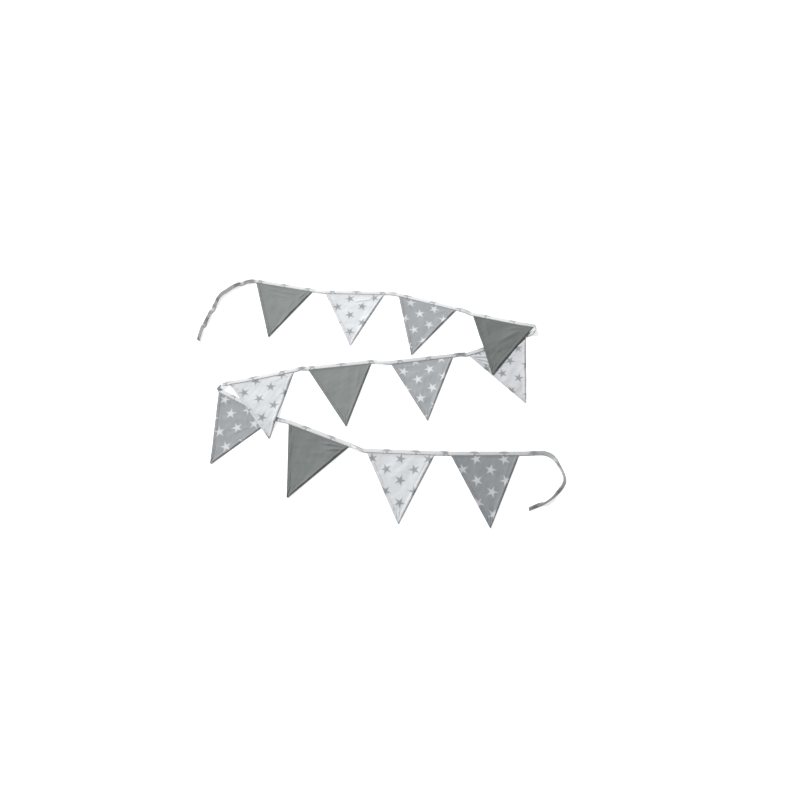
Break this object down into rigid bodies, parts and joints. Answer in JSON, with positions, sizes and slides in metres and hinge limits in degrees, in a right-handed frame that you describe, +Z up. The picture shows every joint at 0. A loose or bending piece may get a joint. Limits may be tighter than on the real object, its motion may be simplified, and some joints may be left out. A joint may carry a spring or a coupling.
{
  "type": "fabric bunting",
  "caption": "String of double-layer triangular cloth pennants on a folded tape with free tie ends, laid flat in rows, for decorating a room.",
  "frame": {"origin": "on the surface, below the centre of the whole laid-out outline", "axes": "+X to the right along the rows, +Y away from the pennants' tips towards the first row, +Z up from the surface"},
  "size_m": [0.967, 0.7142, 0.0143],
  "materials": {
    "grey_cloth": "matt plain-woven cotton, mid grey",
    "white_star_cloth": "matt cotton, white with scattered grey stars",
    "grey_star_cloth": "matt cotton, light grey with scattered white stars",
    "tape_cloth": "matt cotton tape, white with cut grey stars"
  },
  "bodies": {
    "root": {"pennant_01": "grey_cloth", "pennant_02": "white_star_cloth", "pennant_03": "grey_star_cloth", "pennant_04": "grey_cloth", "pennant_05": "white_star_cloth", "pennant_06": "grey_star_cloth", "pennant_07": "grey_cloth", "pennant_08": "white_star_cloth", "pennant_09": "grey_star_cloth", "pennant_10": "grey_cloth", "pennant_11": "white_star_cloth", "pennant_12": "grey_star_cloth", "tape": "tape_cloth"}
  },
  "joints": []
}
